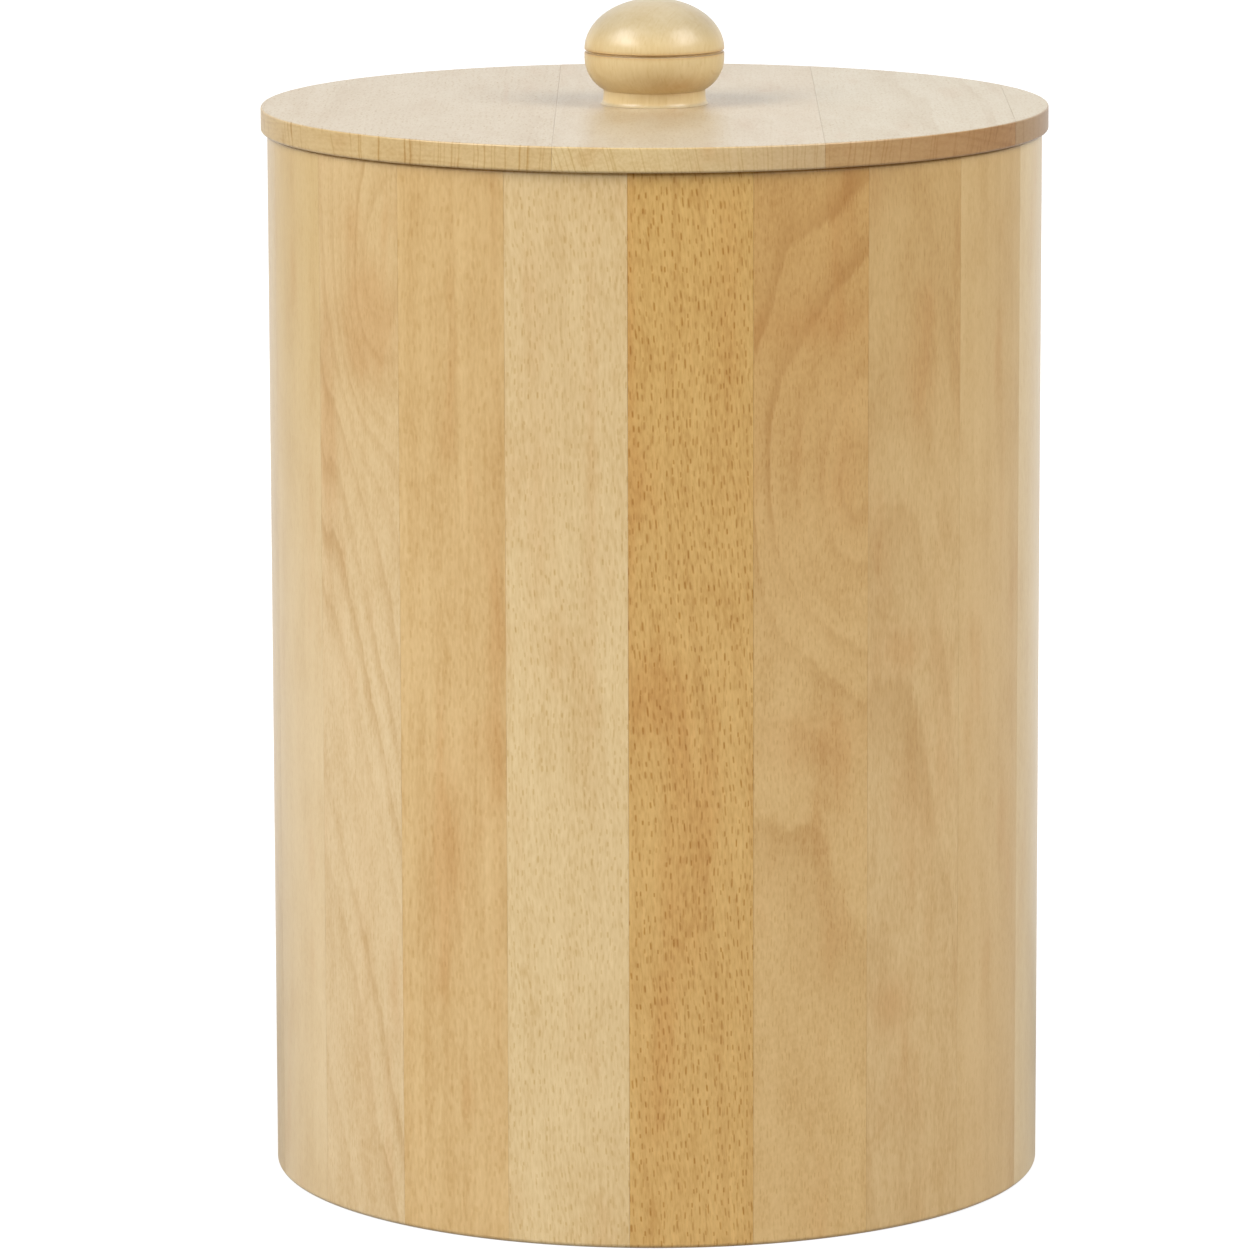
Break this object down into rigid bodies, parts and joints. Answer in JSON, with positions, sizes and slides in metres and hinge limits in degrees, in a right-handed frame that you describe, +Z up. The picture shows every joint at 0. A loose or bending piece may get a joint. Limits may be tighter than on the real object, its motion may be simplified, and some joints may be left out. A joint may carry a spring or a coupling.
{
  "type": "bathroom waste bin",
  "caption": "Round wooden bathroom bin coopered from upright beech staves, with a flat lift-off lid and a turned mushroom knob.",
  "frame": {"origin": "centre of the base, on the body's axis, at the level that the bin stands on", "axes": "+Z up along the body's axis; -Y is the pictured front; +X is to the right of it"},
  "size_m": [0.1992, 0.1992, 0.2998],
  "materials": {
    "beech_pale": "satin lacquer on pale beech with fine ray flecks",
    "beech_tan": "satin lacquer on tan beech",
    "beech_honey": "satin lacquer on honey-coloured beech with dense ray flecks",
    "beech_brown": "satin lacquer on brown steamed beech",
    "beech_panel": "thin matt lacquer on beech plywood",
    "screw_steel": "bright zinc plating"
  },
  "bodies": {
    "bin": {"stave_01": "beech_honey", "stave_02": "beech_brown", "stave_03": "beech_brown", "stave_04": "beech_tan", "stave_05": "beech_pale", "stave_06": "beech_tan", "stave_07": "beech_pale", "stave_08": "beech_honey", "stave_09": "beech_tan", "stave_10": "beech_pale", "stave_11": "beech_brown", "stave_12": "beech_tan", "stave_13": "beech_pale", "stave_14": "beech_tan", "stave_15": "beech_brown", "stave_16": "beech_pale", "stave_17": "beech_pale", "stave_18": "beech_tan", "stave_19": "beech_tan", "stave_20": "beech_pale", "bottom_panel": "beech_panel"},
    "lid": {"lid_board_1": "beech_pale", "lid_board_2": "beech_tan", "lid_board_3": "beech_pale", "lid_board_4": "beech_tan", "lid_locating_disc": "beech_panel", "knob": "beech_pale", "knob_screw": "screw_steel"}
  },
  "joints": [
    {"name": "lid_lift", "type": "slide", "parent": "bin", "child": "lid", "axis": [0, 0, 1], "range_m": [0, 0.2]}
  ]
}
